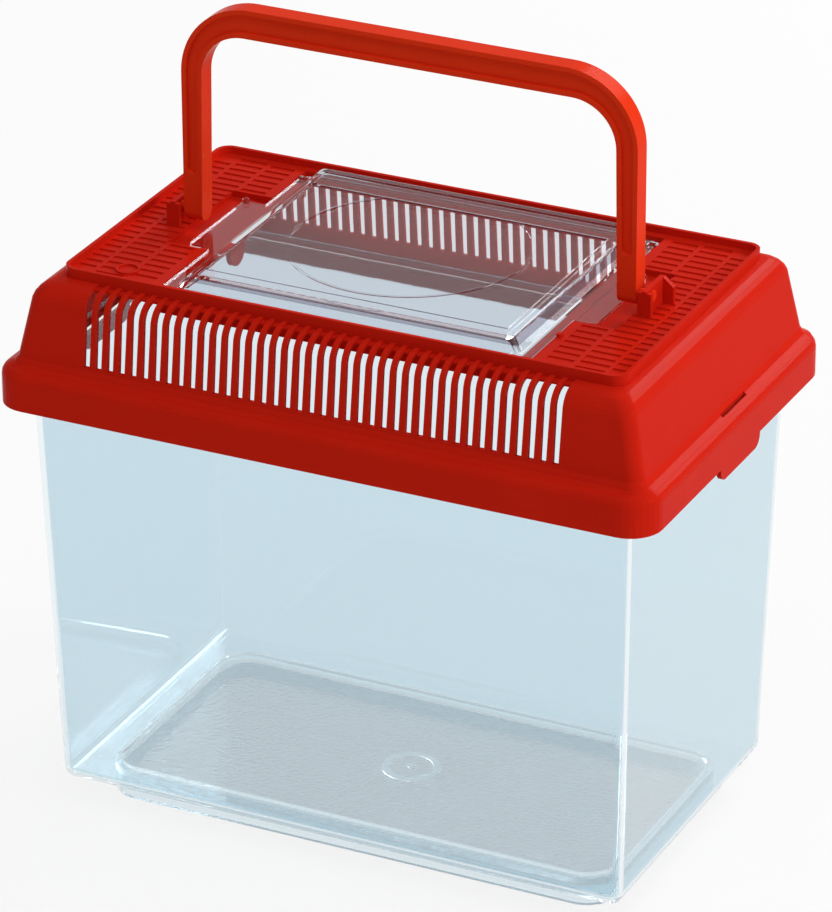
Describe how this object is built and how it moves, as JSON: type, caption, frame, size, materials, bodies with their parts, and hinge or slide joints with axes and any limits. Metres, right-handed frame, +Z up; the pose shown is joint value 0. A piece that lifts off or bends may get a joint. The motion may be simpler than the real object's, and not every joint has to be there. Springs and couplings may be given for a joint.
{
  "type": "plastic pet keeper",
  "caption": "Clear rectangular pet keeper with a slotted lift-off lid, a hinged clear feeding hatch and a folding carry handle.",
  "frame": {"origin": "on the table, under the middle of the keeper's box", "axes": "+X along the keeper to its right end, +Y to its back, +Z up; the handle stands upright at rest"},
  "size_m": [0.232, 0.1442, 0.2714],
  "materials": {
    "clear_plastic": "clear polished polystyrene",
    "lid_plastic": "satin red polypropylene",
    "handle_plastic": "satin orange-red polypropylene"
  },
  "bodies": {
    "tank": {"tank": "clear_plastic"},
    "lid": {"lid": "lid_plastic"},
    "hatch": {"hatch": "clear_plastic"},
    "handle": {"handle": "handle_plastic"}
  },
  "joints": [
    {"name": "lid_lift", "type": "slide", "parent": "tank", "child": "lid", "axis": [0, 0, 1], "range_m": [0, 0.12]},
    {"name": "hatch_hinge", "type": "hinge", "parent": "lid", "child": "hatch", "pos_m": [0, 0.0495, 0.19], "axis": [-1, 0, 0], "range_deg": [0, 45]},
    {"name": "handle_hinge", "type": "hinge", "parent": "lid", "child": "handle", "pos_m": [0, 0.0006, 0.1975], "axis": [1, 0, 0], "range_deg": [-88, 88]}
  ]
}
